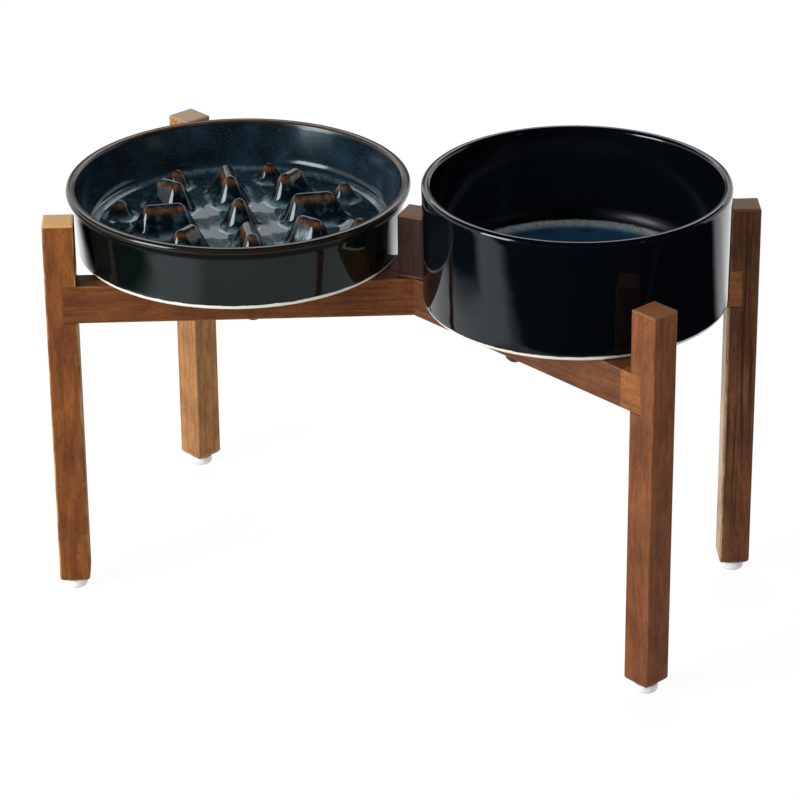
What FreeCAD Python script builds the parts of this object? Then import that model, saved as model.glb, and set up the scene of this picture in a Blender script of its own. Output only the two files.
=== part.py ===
"""Elevated slow feeder: two glazed stoneware bowls lifted off the floor by a crossed hardwood stand.

Two rails cross in a half lap and end in four square legs. A short post on the crossing and the two
legs of each side hold one round bowl, which rests on the rails and lifts straight out.
Lengths are in millimetres, +Z is up, +X runs from the slow feeder to the water bowl, and the floor
is at Z = 0 under the middle of the whole.
"""
import FreeCAD, Part
import math
import os

# Square hardwood stock of the legs, rails and post
leg_side = 19.0
leg_height = 244.2
leg_top_round = 1.6
leg_bottom_round = 5.2
stock_edge_round = 1.2
rail_height = 24.6
leg_above_rail = 40.4
crossing_angle = 49.9
housing_depth = 8.5
lap_clearance = 0.15

# Centre post with the bolt that ties it to the crossing from below
post_side = 19.0
post_offset = 1.5
bolt_diameter = 6.0
bolt_in_post = 17.0
bolt_hole_clearance = 0.35
bolt_head_diameter = 10.5
bolt_head_height = 3.6
bolt_head_round = 1.8
bolt_socket_across = 4.0
bolt_socket_sides = 6
bolt_socket_depth = 2.2
washer_diameter = 15.0
washer_thickness = 1.2
bolt_recess_depth = 5.4
bolt_recess_clearance = 0.4
insert_length = 15.0
insert_wall = 1.5
insert_barb = 0.6
insert_barb_count = 3
insert_clearance = 0.1
thread_clearance = 0.1

# Glued dowels that pin each rail end to its leg
dowel_diameter = 6.0
dowel_in_leg = 6.0
dowel_in_rail = 14.0
dowel_chamfer = 0.8
dowel_clearance = 0.1
dowel_end_gap = 0.5

# Nail-on glides under the legs
glide_diameter = 14.5
glide_height = 6.0
glide_foot_round = 3.0
glide_top_round = 0.8
nail_diameter = 2.2
nail_in_leg = 15.0
nail_point = 3.0
nail_head_diameter = 6.5
nail_head_height = 1.2
nail_head_above_floor = 2.4
nail_clearance = 0.1

# Rubber bumpers pushed down through the rails under each bowl
bumper_head_diameter = 13.0
bumper_head_round = 0.8
bumper_stem_diameter = 6.0
bumper_stem_clearance = 0.3
bumper_barb_diameter = 11.0
bumper_barb_height = 4.2
bumper_barb_round = 2.2
bumper_tip_diameter = 7.0
bumper_aside = 2.4
bumper_pad_clearance = 0.3
slow_bumper_share = 0.468
water_bumper_share = 0.435

# Foot shared by both bowls: a turned ring that leaves the underside hollow
foot_depth = 3.0
foot_land = 5.0
foot_round = 0.8

# Slow feeder bowl
slow_height = 42.0
slow_rim_radius = 106.3
slow_lip_overhang = 3.0
slow_wall_lean = 3.0
slow_base_round = 3.0
slow_lip_height = 6.8
slow_lip_width = 5.4
slow_lip_round = 2.3
slow_neck_round = 3.0
slow_floor_height = 12.0
slow_inner_lean = 6.4
slow_floor_cove = 9.0
slow_post_gap = 3.4
slow_leg_gap = 1.6

# Mounds on the slow feeder's floor: a centre cone, eight radial ridges and eight outer cones
mound_height = 18.4
mound_top_radius = 3.3
mound_draft = 25.5
mound_root = 1.0
mound_foot_cove = 4.5
crown_share = 0.8
ring_ridge_count = 4
long_ridge_run = 18.0
long_ridge_place_share = 0.492
long_ridge_turn = 33.0
short_ridge_run = 10.0
short_ridge_place_share = 0.567
short_ridge_turn = 78.0
outer_cone_count = 8
outer_cone_height = 11.4
outer_cone_top_radius = 2.8
outer_cone_cove = 2.4
outer_cone_place_share = 0.808
outer_cone_turn = 10.5

# Water bowl
water_height = 75.0
water_rim_radius = 92.4
water_wall_lean = 0.6
water_base_round = 4.5
water_lip_width = 5.6
water_lip_round = 2.4
water_floor_height = 12.0
water_inner_lean = 3.0
water_floor_cove = 14.0
water_post_gap = 0.5
water_leg_gap = 9.4

# Cuts run past the faces that they open by this much
overrun = 2.0

# Places worked out from the sizes above, with the crossing over the origin
half_angle = math.radians(crossing_angle) / 2
leg_foot = glide_height
leg_top = leg_foot + leg_height
rail_top = leg_top - leg_above_rail
rail_bottom = rail_top - rail_height
rail_middle = rail_top - rail_height / 2
bolt_seat = rail_bottom + bolt_recess_depth
slow_neck_radius = slow_rim_radius - slow_lip_overhang
slow_base_radius = slow_neck_radius - slow_wall_lean
slow_floor_radius = slow_rim_radius - slow_lip_width - slow_inner_lean
water_base_radius = water_rim_radius - water_wall_lean
water_floor_radius = water_rim_radius - water_lip_width - water_inner_lean
slow_x = -(post_offset + post_side / 2 + slow_post_gap + slow_rim_radius)
water_x = post_side / 2 - post_offset + water_post_gap + water_rim_radius


def arm_length(bowl_offset, rim_radius, gap):
    """Crossing to leg axis, so that the leg's inner corner clears the bowl's rim by the gap."""
    along = bowl_offset * math.cos(half_angle)
    across = bowl_offset * math.sin(half_angle) - leg_side / 2
    return along + leg_side / 2 + math.sqrt((rim_radius + gap) ** 2 - across ** 2)


slow_arm = arm_length(-slow_x, slow_rim_radius, slow_leg_gap)
water_arm = arm_length(water_x, water_rim_radius, water_leg_gap)
leg_reach = leg_side / 2 * (math.cos(half_angle) + math.sin(half_angle))
left_reach = max(slow_rim_radius - slow_x, slow_arm * math.cos(half_angle) + leg_reach)
right_reach = max(water_rim_radius + water_x, water_arm * math.cos(half_angle) + leg_reach)
crossing_x = (left_reach - right_reach) / 2
arms = {
    "front_left": (slow_arm, 180 + crossing_angle / 2, slow_bumper_share),
    "rear_left": (slow_arm, 180 - crossing_angle / 2, slow_bumper_share),
    "front_right": (water_arm, -crossing_angle / 2, water_bumper_share),
    "rear_right": (water_arm, crossing_angle / 2, water_bumper_share),
}
origin = FreeCAD.Vector(0, 0, 0)
up = FreeCAD.Vector(0, 0, 1)


def in_plan(u, v):
    """Outline point lying flat."""
    return FreeCAD.Vector(u, v, 0)


def facing_front(u, v):
    """Outline point in the XZ plane."""
    return FreeCAD.Vector(u, 0, v)


def facing_side(u, v):
    """Outline point in the YZ plane."""
    return FreeCAD.Vector(0, u, v)


def rounded_face(corners, lift):
    """Flat face whose corners (u, v, radius) are rounded by tangent arcs."""
    stations = []
    for index, (u, v, radius) in enumerate(corners):
        corner = FreeCAD.Vector(u, v, 0)
        before = FreeCAD.Vector(*corners[index - 1][:2], 0) - corner
        after = FreeCAD.Vector(*corners[(index + 1) % len(corners)][:2], 0) - corner
        if radius == 0:
            stations.append([corner])
            continue
        half = before.getAngle(after) / 2
        before.normalize()
        after.normalize()
        inward = before + after
        inward.normalize()
        trim = radius / math.tan(half)
        middle = corner + inward * (radius / math.sin(half) - radius)
        stations.append([corner + before * trim, middle, corner + after * trim])
    edges = []
    for index, station in enumerate(stations):
        points = [lift(point.x, point.y) for point in station]
        if len(points) > 1:
            edges.append(Part.Arc(*points).toShape())
        following = stations[(index + 1) % len(stations)][0]
        start = points[-1]
        end = lift(following.x, following.y)
        if (end - start).Length > Part.Precision.confusion():
            edges.append(Part.LineSegment(start, end).toShape())
    return Part.Face(Part.Wire(edges))


def turned(corners):
    """Solid of revolution about Z from an outline of (radius, height, rounding) corners."""
    return rounded_face(corners, facing_front).revolve(origin, up, 360)


def box(low_x, high_x, low_y, high_y, low_z, high_z):
    """Upright block between two corners."""
    corner = FreeCAD.Vector(low_x, low_y, low_z)
    return Part.makeBox(high_x - low_x, high_y - low_y, high_z - low_z, corner)


def swung(shape, degrees):
    """Shape turned about the crossing."""
    return shape.rotated(origin, up, degrees)


def square_post(side, height, top_round, bottom_round):
    """Square upright from Z = 0 with rounded ends and eased long edges, cut from three profiles."""
    half = side / 2
    outline = [(-half, 0, bottom_round), (half, 0, bottom_round),
               (half, height, top_round), (-half, height, top_round)]
    front = rounded_face(outline, facing_front).extrude(FreeCAD.Vector(0, side, 0))
    front.translate(FreeCAD.Vector(0, -half, 0))
    flank = rounded_face(outline, facing_side).extrude(FreeCAD.Vector(side, 0, 0))
    flank.translate(FreeCAD.Vector(-half, 0, 0))
    section = [(-half, -half, stock_edge_round), (half, -half, stock_edge_round),
               (half, half, stock_edge_round), (-half, half, stock_edge_round)]
    column = rounded_face(section, in_plan).extrude(FreeCAD.Vector(0, 0, height))
    return front.common(flank).common(column)


def nail(clearance):
    """Glide nail, head down, grown by the clearance where it is used as a cutter."""
    shank = nail_diameter / 2 + clearance
    head = nail_head_diameter / 2 + clearance
    head_low = nail_head_above_floor - clearance
    head_high = nail_head_above_floor + nail_head_height + clearance
    tip = leg_foot + nail_in_leg + clearance
    return turned([(0, head_low, 0), (head, head_low, 0), (head, head_high, 0), (shank, head_high, 0),
                   (shank, tip - nail_point, 0), (0, tip, 0)])


def glide():
    """White plastic button with a rolled foot, moulded round its nail's head."""
    radius = glide_diameter / 2
    button = turned([(0, 0, 0), (radius, 0, glide_foot_round), (radius, glide_height, glide_top_round),
                     (0, glide_height, 0)])
    return button.cut(nail(nail_clearance))


def along_rail(shape):
    """Turned peg or bore laid along +X at the middle of the rail's height."""
    laid = shape.rotated(origin, FreeCAD.Vector(0, 1, 0), 90)
    laid.translate(FreeCAD.Vector(0, 0, rail_middle))
    return laid


def dowel(joint):
    """Chamfered peg across the joint plane, longer in the rail than in the leg."""
    radius = dowel_diameter / 2
    nose = radius - dowel_chamfer
    low = joint - dowel_in_rail
    high = joint + dowel_in_leg
    return along_rail(turned([(0, low, 0), (nose, low, 0), (radius, low + dowel_chamfer, 0),
                              (radius, high - dowel_chamfer, 0), (nose, high, 0), (0, high, 0)]))


def dowel_hole(joint):
    """Bore for the dowel, with room for glue round it and at both ends."""
    radius = dowel_diameter / 2 + dowel_clearance
    low = joint - dowel_in_rail - dowel_end_gap
    high = joint + dowel_in_leg + dowel_end_gap
    return along_rail(turned([(0, low, 0), (radius, low, 0), (radius, high, 0), (0, high, 0)]))


def housing_end(length):
    """Distance from the crossing to the bottom of a leg's housing."""
    return length - leg_side / 2 + housing_depth


def leg(length):
    """Leg at the end of an arm along +X, housed for the rail, bored for its dowel and nail."""
    post = square_post(leg_side, leg_height, leg_top_round, leg_bottom_round)
    post.translate(FreeCAD.Vector(length, 0, leg_foot))
    inner_face = length - leg_side / 2
    housing = box(inner_face - overrun, housing_end(length), -leg_side, leg_side, rail_bottom, rail_top)
    nail_hole = nail(nail_clearance)
    nail_hole.translate(FreeCAD.Vector(length, 0, 0))
    return post.cut(housing).cut(dowel_hole(housing_end(length))).cut(nail_hole)


def bumper_stem(radius):
    """Straight stem from rail top to rail bottom, or the hole that it runs in."""
    return Part.makeCylinder(radius, rail_height, FreeCAD.Vector(0, 0, rail_bottom), up)


def bumper():
    """Push-in rubber bumper beside the rail's midline: pad above, stem through it, rounded barb below."""
    stem = bumper_stem_diameter / 2
    head = bumper_head_diameter / 2
    barb = bumper_barb_diameter / 2
    tip = bumper_tip_diameter / 2
    pad_top = rail_top + foot_depth - bumper_pad_clearance
    barb_low = rail_bottom - bumper_barb_height
    barb_wide = rail_bottom - bumper_barb_round
    plug = turned([(0, barb_low, 0), (tip, barb_low, 0), (barb, barb_wide, bumper_head_round),
                   (barb, rail_bottom, 0), (stem, rail_bottom, 0), (stem, rail_top, 0), (head, rail_top, 0),
                   (head, pad_top, bumper_head_round), (0, pad_top, 0)])
    plug.translate(FreeCAD.Vector(0, -bumper_aside, 0))
    return plug


def bolt_hole():
    """Clearance hole for the post bolt through the whole crossing, with a recess for its head below."""
    radius = bolt_diameter / 2 + bolt_hole_clearance
    recess = washer_diameter / 2 + bolt_recess_clearance
    low = rail_bottom - overrun
    high = rail_top + overrun
    return moved(turned([(0, low, 0), (recess, low, 0), (recess, bolt_seat, 0), (radius, bolt_seat, 0),
                         (radius, high, 0), (0, high, 0)]), -post_offset, 0)


def rail(degrees, lap_low, lap_high):
    """Rail across the stand at an angle, lapped between two heights for the other rail."""
    left = housing_end(slow_arm)
    right = housing_end(water_arm)
    half = leg_side / 2
    section = [(-half, rail_bottom, stock_edge_round), (half, rail_bottom, stock_edge_round),
               (half, rail_top, stock_edge_round), (-half, rail_top, stock_edge_round)]
    bar = rounded_face(section, facing_side).extrude(FreeCAD.Vector(left + right, 0, 0))
    bar.translate(FreeCAD.Vector(-left, 0, 0))
    for share, arm, side in ((slow_bumper_share, slow_arm, -1), (water_bumper_share, water_arm, 1)):
        hole = bumper_stem(bumper_stem_diameter / 2 + bumper_stem_clearance)
        hole.translate(FreeCAD.Vector(share * arm * side, -bumper_aside * side, 0))
        bar = bar.cut(hole)
    bar = bar.cut(dowel_hole(right)).cut(swung(dowel_hole(left), 180))
    bar = swung(bar, degrees)
    lap_half = half + lap_clearance
    lap = swung(box(-left, right, -lap_half, lap_half, lap_low, lap_high), -degrees)
    return bar.cut(lap).cut(bolt_hole())


def post_insert(clearance):
    """Barbed sleeve pressed up into the post's foot, or its hole where grown by the clearance."""
    bore = bolt_diameter / 2 + thread_clearance
    sleeve = bore + insert_wall
    barb = sleeve + insert_barb
    top = rail_top + insert_length
    if clearance > 0:
        return turned([(0, rail_top - overrun, 0), (barb + clearance, rail_top - overrun, 0),
                       (barb + clearance, top + clearance, 0), (0, top + clearance, 0)])
    corners = [(bore, rail_top, 0)]
    step = insert_length / insert_barb_count
    for index in range(insert_barb_count):
        corners += [(barb, rail_top + step * index, 0), (sleeve, rail_top + step * (index + 1), 0)]
    return turned(corners + [(bore, top, 0)])


def centre_post():
    """Short post that stands on the crossing, level with the leg tops, bored for the bolt."""
    post = square_post(post_side, leg_top - rail_top, leg_top_round, 0)
    post.translate(FreeCAD.Vector(0, 0, rail_top))
    bolt_end = rail_top + bolt_in_post + dowel_end_gap
    bore = Part.makeCylinder(bolt_diameter / 2 + bolt_hole_clearance, bolt_end - rail_top,
                             FreeCAD.Vector(0, 0, rail_top), up)
    return post.cut(post_insert(insert_clearance)).cut(bore)


def post_bolt():
    """Button-head bolt with a hexagon socket, run up through washer and crossing into the insert."""
    seat = bolt_seat - washer_thickness
    head = bolt_head_diameter / 2
    shank = bolt_diameter / 2
    body = turned([(0, seat - bolt_head_height, 0), (head, seat - bolt_head_height, bolt_head_round),
                   (head, seat, 0), (shank, seat, 0), (shank, rail_top + bolt_in_post, 0),
                   (0, rail_top + bolt_in_post, 0)])
    corner_radius = bolt_socket_across / 2 / math.cos(math.pi / bolt_socket_sides)
    turns = [math.tau / bolt_socket_sides * corner for corner in range(bolt_socket_sides)]
    hexagon = [(corner_radius * math.cos(turn), corner_radius * math.sin(turn), 0) for turn in turns]
    socket = rounded_face(hexagon, in_plan).extrude(FreeCAD.Vector(0, 0, bolt_socket_depth + overrun))
    socket.translate(FreeCAD.Vector(0, 0, seat - bolt_head_height - overrun))
    return body.cut(socket)


def post_washer():
    """Flat washer between the bolt head and the recess in the lower rail."""
    bore = bolt_diameter / 2 + bolt_hole_clearance
    outer = washer_diameter / 2
    low = bolt_seat - washer_thickness
    return turned([(bore, low, 0), (outer, low, 0), (outer, bolt_seat, 0), (bore, bolt_seat, 0)])


def slot_outline(run, radius, height):
    """Closed outline of two half circles joined by straight runs, centred on Z."""
    ends = [FreeCAD.Vector(run / 2 * side, radius * flank, height) for side, flank in
            ((1, -1), (1, 1), (-1, 1), (-1, -1))]
    right_tip = FreeCAD.Vector(run / 2 + radius, 0, height)
    left_tip = FreeCAD.Vector(-run / 2 - radius, 0, height)
    return Part.Wire([Part.Arc(ends[0], right_tip, ends[1]).toShape(),
                      Part.LineSegment(ends[1], ends[2]).toShape(),
                      Part.Arc(ends[2], left_tip, ends[3]).toShape(),
                      Part.LineSegment(ends[3], ends[0]).toShape()])


def mound(run, top_radius, height):
    """Drafted mound with a softened crown, rooted a little below the floor: a cone if run is zero."""
    spread = math.tan(math.radians(mound_draft))
    root_radius = top_radius + (height + mound_root) * spread
    low = slow_floor_height - mound_root
    high = slow_floor_height + height
    if run == 0:
        body = Part.makeCone(root_radius, top_radius, high - low, FreeCAD.Vector(0, 0, low), up)
    else:
        body = Part.makeLoft([slot_outline(run, root_radius, low), slot_outline(run, top_radius, high)],
                             True, True)
    middle = (low + high) / 2
    crown = [edge for edge in body.Edges if edge.BoundBox.ZMin > middle]
    return body.makeFillet(top_radius * crown_share, crown)


def ringed(shape, place_share, turn, count):
    """Copies of a mound set out round the bowl's axis at a share of the floor's radius."""
    shape.translate(FreeCAD.Vector(slow_floor_radius * place_share, 0, 0))
    return [swung(shape, turn + 360 / count * index) for index in range(count)]


def foot_corners(base_radius, base_round):
    """Underside of a bowl: hollow middle, foot ring and the turn up into the wall."""
    inner = base_radius - base_round - foot_land
    return [(0, foot_depth, 0), (inner, foot_depth, foot_round), (inner, 0, foot_round),
            (base_radius, 0, base_round)]


def mound_feet(bowl, outer):
    """Edges where the outer cones, or the taller mounds inside them, meet the flat floor."""
    border = slow_floor_radius * outer_cone_place_share - outer_cone_top_radius
    feet = []
    for edge in bowl.Edges:
        rise = max(abs(vertex.Z - slow_floor_height) for vertex in edge.Vertexes)
        reach = max(math.hypot(vertex.X, vertex.Y) for vertex in edge.Vertexes)
        middle = math.hypot(edge.CenterOfMass.x, edge.CenterOfMass.y)
        on_floor = rise < Part.Precision.approximation() and reach < slow_floor_radius - slow_floor_cove
        if on_floor and (middle > border) == outer:
            feet.append(edge)
    return feet


def slow_feeder_bowl():
    """Low flared bowl with a rolled lip and a floor of mounds that food has to be picked from."""
    neck = slow_height - slow_lip_height
    shell = turned(foot_corners(slow_base_radius, slow_base_round) + [
        (slow_neck_radius, neck, slow_neck_round),
        (slow_rim_radius, slow_height - slow_lip_height / 2, slow_lip_round),
        (slow_rim_radius, slow_height, slow_lip_round),
        (slow_rim_radius - slow_lip_width, slow_height, slow_lip_round),
        (slow_floor_radius, slow_floor_height, slow_floor_cove),
        (0, slow_floor_height, 0)])
    mounds = [mound(0, mound_top_radius, mound_height)]
    long_ridge = mound(long_ridge_run, mound_top_radius, mound_height)
    mounds += ringed(long_ridge, long_ridge_place_share, long_ridge_turn, ring_ridge_count)
    short_ridge = mound(short_ridge_run, mound_top_radius, mound_height)
    mounds += ringed(short_ridge, short_ridge_place_share, short_ridge_turn, ring_ridge_count)
    outer_cone = mound(0, outer_cone_top_radius, outer_cone_height)
    mounds += ringed(outer_cone, outer_cone_place_share, outer_cone_turn, outer_cone_count)
    dished = shell.fuse(mounds).removeSplitter()
    dished = dished.makeFillet(outer_cone_cove, mound_feet(dished, True))
    return dished.makeFillet(mound_foot_cove, mound_feet(dished, False))


def water_bowl():
    """Deep straight-sided bowl with a rounded lip and a wide cove round its floor."""
    return turned(foot_corners(water_base_radius, water_base_round) + [
        (water_rim_radius, water_height, water_lip_round),
        (water_rim_radius - water_lip_width, water_height, water_lip_round),
        (water_floor_radius, water_floor_height, water_floor_cove),
        (0, water_floor_height, 0)])


def moved(shape, x, z):
    """Shape shifted along the stand and up."""
    shape.translate(FreeCAD.Vector(x, 0, z))
    return shape


pieces = {
    "lower_cross_rail": rail(crossing_angle / 2, rail_middle, rail_top + overrun),
    "upper_cross_rail": rail(-crossing_angle / 2, rail_bottom - overrun, rail_middle),
    "centre_post": moved(centre_post(), -post_offset, 0),
    "post_insert": moved(post_insert(0), -post_offset, 0),
    "post_bolt": moved(post_bolt(), -post_offset, 0),
    "post_washer": moved(post_washer(), -post_offset, 0),
    "slow_feeder_bowl": moved(slow_feeder_bowl(), slow_x, rail_top),
    "water_bowl": moved(water_bowl(), water_x, rail_top),
}
for place, (length, degrees, bumper_share) in arms.items():
    pieces[place + "_leg"] = swung(leg(length), degrees)
    pieces[place + "_dowel"] = swung(dowel(housing_end(length)), degrees)
    pieces[place + "_glide"] = swung(moved(glide(), length, 0), degrees)
    pieces[place + "_glide_nail"] = swung(moved(nail(0), length, 0), degrees)
    pieces[place + "_bumper"] = swung(moved(bumper(), length * bumper_share, 0), degrees)

os.makedirs("parts", exist_ok=True)
for name, shape in pieces.items():
    shape.translate(FreeCAD.Vector(crossing_x, 0, 0))
    shape.exportStep("parts/" + name + ".step")
    print(name, shape.isValid(), len(shape.Solids), round(shape.Volume), "cubic mm")
print("crossing to leg axes", round(slow_arm, 2), round(water_arm, 2), "crossing at x", round(crossing_x, 2))
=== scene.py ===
# %% [markdown]
# A raised feeder for a dog: a crossed stand of oiled hardwood sticks carries two glazed stoneware bowls.
# The stand's solids already have the right shape, so they stay as they are and only get a finish. The
# bowls are drawn again as fine numpy surfaces, because a glossy glaze shows every facet of a coarse mesh.

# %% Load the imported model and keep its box
import math

import bpy
import numpy as np
from mathutils import Matrix, Vector


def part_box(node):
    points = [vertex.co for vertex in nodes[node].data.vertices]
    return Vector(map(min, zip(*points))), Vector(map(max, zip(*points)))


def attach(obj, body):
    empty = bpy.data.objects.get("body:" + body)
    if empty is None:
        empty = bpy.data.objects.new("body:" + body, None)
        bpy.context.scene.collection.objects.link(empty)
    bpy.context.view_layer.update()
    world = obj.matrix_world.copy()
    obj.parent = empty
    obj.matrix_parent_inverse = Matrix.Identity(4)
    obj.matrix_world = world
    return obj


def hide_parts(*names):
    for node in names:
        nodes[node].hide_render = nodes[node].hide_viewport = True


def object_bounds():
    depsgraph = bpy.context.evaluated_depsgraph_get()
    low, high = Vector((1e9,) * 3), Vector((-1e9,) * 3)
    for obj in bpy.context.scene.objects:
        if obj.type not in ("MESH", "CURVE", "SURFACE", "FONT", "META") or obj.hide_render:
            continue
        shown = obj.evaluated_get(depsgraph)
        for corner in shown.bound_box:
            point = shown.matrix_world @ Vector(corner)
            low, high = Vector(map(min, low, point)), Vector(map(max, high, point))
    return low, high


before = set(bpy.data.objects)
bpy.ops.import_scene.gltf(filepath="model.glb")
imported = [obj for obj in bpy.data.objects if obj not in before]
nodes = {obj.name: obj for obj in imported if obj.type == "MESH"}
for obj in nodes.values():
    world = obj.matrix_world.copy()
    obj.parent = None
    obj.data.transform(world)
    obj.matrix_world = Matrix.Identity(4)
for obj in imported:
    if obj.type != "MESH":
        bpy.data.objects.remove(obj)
cad_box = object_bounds()
MM = 0.001
CORNERS = ("front_left", "rear_left", "front_right", "rear_right")

# %% [markdown]
# The camera stands where the photographer stood: about 23 degrees round to the right of the front, looking
# down. A long lens from far away keeps the legs almost parallel, so the lens and the distance matter as much
# as the direction. The camera is aimed at one point, and then rolled by half a degree.

# %% Camera at the photograph's viewing angle
VIEW_AZIMUTH = 22.78
VIEW_ELEVATION = 25.92
VIEW_ROLL = -0.52
VIEW_DISTANCE = 2.355
VIEW_AIM = Vector((-0.0129, 0.0375, 0.1010))
LENS = 167.25
CLIP_END = 100.0


def direction(azimuth, elevation):
    """Unit vector from the object towards a place: azimuth 0 is -Y, 90 is +X, elevation is above level."""
    a, e = math.radians(azimuth), math.radians(elevation)
    return Vector((math.sin(a) * math.cos(e), -math.cos(a) * math.cos(e), math.sin(e)))


def link(thing):
    """Puts an object into the scene and hands it back."""
    bpy.context.scene.collection.objects.link(thing)
    return thing


camera = link(bpy.data.objects.new("camera", bpy.data.cameras.new("camera")))
camera.data.lens = LENS
camera.data.clip_end = CLIP_END
back = direction(VIEW_AZIMUTH, VIEW_ELEVATION)
turn = back.to_track_quat("Z", "Y").to_matrix() @ Matrix.Rotation(math.radians(VIEW_ROLL), 3, "Z")
camera.matrix_world = Matrix.LocRotScale(VIEW_AIM + back * VIEW_DISTANCE, turn, None)
bpy.context.scene.camera = camera
print("camera at", [round(v, 3) for v in camera.location])

# %% [markdown]
# Shader sums read best as sums. One small class wraps an output socket: the usual operators on it add Math
# nodes, and its node method adds any other node, sets it up, and fills or links its sockets.


# %% A socket that can be added, multiplied and blended
class Signal:
    """One output socket of a node tree. Sums with it add Math nodes to that tree."""

    def __init__(self, tree, socket=None):
        self.tree = tree
        self.socket = socket

    def node(self, kind, settings=None, inputs=None, output=0):
        """Adds a node of this kind: settings are set first, then its inputs are filled or linked."""
        made = self.tree.nodes.new(kind)
        for key, value in (settings or {}).items():
            setattr(made, key, value)
        for key, value in (inputs or {}).items():
            if isinstance(value, Signal):
                self.tree.links.new(value.socket, made.inputs[key])
            else:
                made.inputs[key].default_value = value
        return Signal(self.tree, made.outputs[output]) if made.outputs else None

    def math(self, operation, *others):
        """This value put through a Math node with up to two more values."""
        return self.node("ShaderNodeMath", {"operation": operation}, dict(enumerate((self, *others))))

    def __add__(self, other):
        return self.math("ADD", other)

    __radd__ = __add__

    def __sub__(self, other):
        return self.math("SUBTRACT", other)

    def __rsub__(self, other):
        return self.math("MULTIPLY_ADD", -1.0, other)

    def __mul__(self, other):
        return self.math("MULTIPLY", other)

    __rmul__ = __mul__

    def __truediv__(self, other):
        return self.math("DIVIDE", other)

    def __abs__(self):
        return self.math("ABSOLUTE")

    def smooth(self, low, high):
        """0 below low, 1 above high, and a smooth step between them."""
        return self.node("ShaderNodeMapRange", {"interpolation_type": "SMOOTHSTEP"},
                         {"Value": self, "From Min": low, "From Max": high})

    def split(self):
        """The three parts of a vector."""
        parts = self.node("ShaderNodeSeparateXYZ", None, {0: self}).socket.node.outputs
        return [Signal(self.tree, part) for part in parts]

    def stretch(self, x, y, z):
        """This vector with its parts multiplied."""
        return self.node("ShaderNodeVectorMath", {"operation": "MULTIPLY"}, {0: self, 1: (x, y, z)})

    def noise(self, scale, detail=2.0, roughness=0.5):
        """Cloudy value from 0 to 1 at this place."""
        return self.node("ShaderNodeTexNoise", None, {
            "Vector": self, "Scale": scale, "Detail": detail, "Roughness": roughness})

    def blend(self, first, second):
        """Colour that goes from the first to the second as this value goes from 0 to 1."""
        return self.node("ShaderNodeMix", {"data_type": "RGBA"}, {0: self, 6: first, 7: second}, 2)

    def bump(self, strength, depth):
        """Normal of a surface that this height, times the depth in metres, stands up from."""
        return self.node("ShaderNodeBump", None, {"Height": self, "Strength": strength, "Distance": depth})


def rgb(red, green, blue):
    """Colour socket value from three linear parts."""
    return (red, green, blue, 1.0)


def finish_of(name):
    """New empty material, and the signal that its nodes start from."""
    material = bpy.data.materials.new(name)
    material.use_nodes = True
    material.node_tree.nodes.clear()
    return material, Signal(material.node_tree)


def show(start, shader):
    """Connects a shader to its tree's material output."""
    start.node("ShaderNodeOutputMaterial", None, {"Surface": shader})


def in_millimetres(start, centre, turn=(0.0, 0.0, 0.0)):
    """Object coordinates in millimetres from a piece's centre, along its own axes."""
    place = start.node("ShaderNodeTexCoord", output="Object")
    local = start.node("ShaderNodeMapping", {"vector_type": "TEXTURE"},
                       {"Vector": place, "Location": tuple(centre), "Rotation": turn})
    return local.stretch(1 / MM, 1 / MM, 1 / MM)


# %% [markdown]
# The stage is a plain white floor in a white surround. Both show white to the camera and to reflections
# alike. Part of the floor's white is ordinary diffuse colour, so that it still takes the object's shadow, and
# to all other rays the surround is a soft fill light.

# %% White floor and surround
FLOOR_SIZE = 24.0
FLOOR_SINK = 0.0002
FLOOR_WHITE = 0.86
FLOOR_GLOW_SHARE = 0.88
FLOOR_GLOW = 1.04
FILL_LIGHT = 0.55
WHITE = rgb(1.0, 1.0, 1.0)


def seen_directly(start):
    """1 for rays from the camera, or by way of a gloss or a glass, and 0 for diffuse light."""
    path = start.node("ShaderNodeLightPath").socket.node.outputs
    camera_ray, glossy, through = (Signal(start.tree, path[key]) for key in
                                   ("Is Camera Ray", "Is Glossy Ray", "Is Transmission Ray"))
    return camera_ray.math("MAXIMUM", glossy).math("MAXIMUM", through)


def floor_finish():
    """White paper: diffuse, with most of its white shown as it is, and clear from below."""
    material, start = finish_of("white_floor")
    paper = start.node("ShaderNodeBsdfDiffuse", None, {"Color": rgb(FLOOR_WHITE, FLOOR_WHITE, FLOOR_WHITE)})
    glow = start.node("ShaderNodeEmission", None, {"Strength": FLOOR_GLOW})
    shown = seen_directly(start) * FLOOR_GLOW_SHARE
    mixed = start.node("ShaderNodeMixShader", None, {0: shown, 1: paper, 2: glow})
    below = start.node("ShaderNodeNewGeometry", output="Backfacing")
    clear = start.node("ShaderNodeBsdfTransparent")
    show(start, start.node("ShaderNodeMixShader", None, {0: below, 1: mixed, 2: clear}))
    return material


def surround():
    """World that is white to look at and a soft fill light otherwise."""
    world = bpy.data.worlds.new("surround")
    world.use_nodes = True
    world.node_tree.nodes.clear()
    start = Signal(world.node_tree)
    fill = start.node("ShaderNodeBackground", None, {"Color": WHITE, "Strength": FILL_LIGHT})
    white = start.node("ShaderNodeBackground", None, {"Color": WHITE})
    mixed = start.node("ShaderNodeMixShader", None, {0: seen_directly(start), 1: fill, 2: white})
    start.node("ShaderNodeOutputWorld", None, {"Surface": mixed})
    bpy.context.scene.world = world


def sheet(name, start, first, second, material):
    """Flat piece of the stage: a corner and its two sides."""
    start, first, second = Vector(start), Vector(first), Vector(second)
    mesh = bpy.data.meshes.new(name)
    mesh.from_pydata([start, start + first, start + first + second, start + second], [], [(0, 1, 2, 3)])
    mesh.uv_layers.new(name="sheet").data.foreach_set("uv", (0, 0, 1, 0, 1, 1, 0, 1))
    mesh.materials.append(material)
    flat = link(bpy.data.objects.new(name, mesh))
    return flat


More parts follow.
